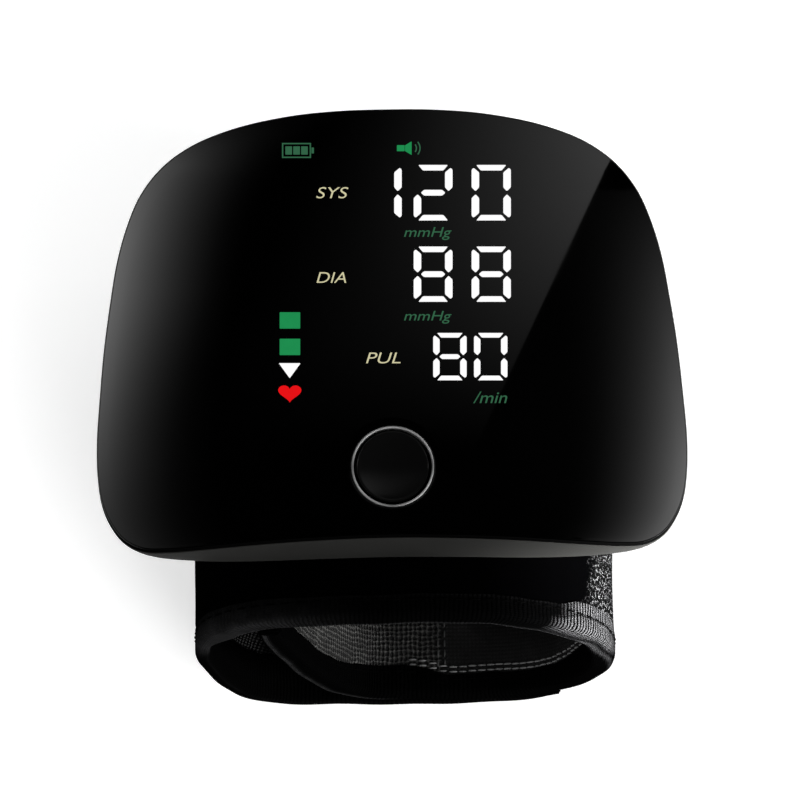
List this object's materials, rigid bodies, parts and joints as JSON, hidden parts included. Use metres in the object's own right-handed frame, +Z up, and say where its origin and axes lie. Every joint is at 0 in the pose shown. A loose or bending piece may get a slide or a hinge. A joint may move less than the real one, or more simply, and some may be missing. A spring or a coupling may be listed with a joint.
{
  "type": "wrist blood pressure monitor",
  "caption": "Wrist blood pressure monitor: curved glossy face with lit readings and a round button, on a closed fabric cuff whose sides and closing flap open.",
  "frame": {"origin": "middle of the bounding box in X and Y, at the underside of the closed cuff, which the monitor stands on", "axes": "+Z up, out of the display; +Y towards the top of the readings, along the wrist; +X to the right of the readings"},
  "size_m": [0.0856, 0.0724, 0.0682],
  "materials": {
    "window": "glossy black smoked window, a mirror-like face that shows soft reflections",
    "button_cap": "glossy black, slightly dished",
    "ring_silver": "satin silver ring",
    "housing": "dark grey, fine satin texture",
    "rear_plastic": "black matte",
    "display_frame": "black matte",
    "circuit_board": "green solder mask",
    "component_plastic": "black moulded",
    "battery_foil": "silver pouch foil",
    "steel": "bare nickel-plated steel",
    "silicone": "milky silicone",
    "core_plastic": "thin springy polypropylene sheet",
    "bladder": "soft grey film",
    "loop_fabric": "black looped pile that hooks fasten to",
    "mesh_lining": "black square mesh weave",
    "strap_lining": "smooth black knit",
    "edge_tape": "black ribbed binding tape with stitching",
    "hook_patch": "black hook tape",
    "led_white": "lit white segments",
    "led_green": "lit green marks",
    "led_yellow": "lit pale yellow labels",
    "led_red": "lit red heart"
  },
  "bodies": {
    "body": {"front_window": "window", "button_ring": "ring_silver", "display_reflector": "display_frame", "display_board": "circuit_board", "front_housing": "housing", "cuff_top_fabric": "loop_fabric", "cuff_top_core": "core_plastic", "cuff_top_bladder": "bladder", "cuff_top_lining": "mesh_lining", "cuff_top_tape_front": "edge_tape", "cuff_top_tape_rear": "edge_tape", "rear_housing": "rear_plastic", "main_board": "circuit_board", "switch_body": "component_plastic", "battery": "battery_foil", "pump_motor": "steel", "pump_head": "component_plastic", "release_valve": "steel", "pressure_sensor": "component_plastic", "air_manifold": "component_plastic", "tube_pump": "silicone", "tube_valve": "silicone", "tube_sensor": "silicone", "speaker": "steel", "charge_board": "circuit_board", "charge_port": "steel", "housing_screw_1": "steel", "cuff_screw_1": "steel", "housing_screw_2": "steel", "cuff_screw_2": "steel", "housing_screw_3": "steel", "cuff_screw_3": "steel", "housing_screw_4": "steel", "cuff_screw_4": "steel"},
    "button": {"power_button": "button_cap", "switch_plunger": "component_plastic"},
    "cuff_left": {"strap_left_fabric": "loop_fabric", "strap_left_lining": "strap_lining", "strap_left_tape_front": "edge_tape", "strap_left_tape_rear": "edge_tape"},
    "closing_flap": {"flap_fabric": "loop_fabric", "flap_hook": "hook_patch", "flap_tape_front": "edge_tape", "flap_tape_rear": "edge_tape"},
    "cuff_right": {"cuff_right_fabric": "loop_fabric", "cuff_right_core": "core_plastic", "cuff_right_bladder": "bladder", "cuff_right_lining": "mesh_lining", "cuff_right_tape_front": "edge_tape", "cuff_right_tape_rear": "edge_tape"}
  },
  "joints": [
    {"name": "power_button_press", "type": "slide", "parent": "body", "child": "button", "axis": [0, 0.0517, -0.9987], "range_m": [0, 0.0005], "stiffness_N_per_m": 900, "springref_m": -0.0015},
    {"name": "cuff_left_open", "type": "hinge", "parent": "body", "child": "cuff_left", "pos_m": [-0.0285, 0, 0.0382], "axis": [0, 1, 0], "range_deg": [0, 80]},
    {"name": "flap_open", "type": "hinge", "parent": "cuff_left", "child": "closing_flap", "pos_m": [-0.0231, 0, 0.00656], "axis": [0, 1, 0], "range_deg": [0, 100]},
    {"name": "cuff_right_open", "type": "hinge", "parent": "body", "child": "cuff_right", "pos_m": [0.03016, 0, 0.03638], "axis": [0, -1, 0], "range_deg": [0, 40]}
  ],
  "couplings": [
    {"joint": "cuff_right_open", "follows": "cuff_left_open", "ratio": 0.5}
  ]
}
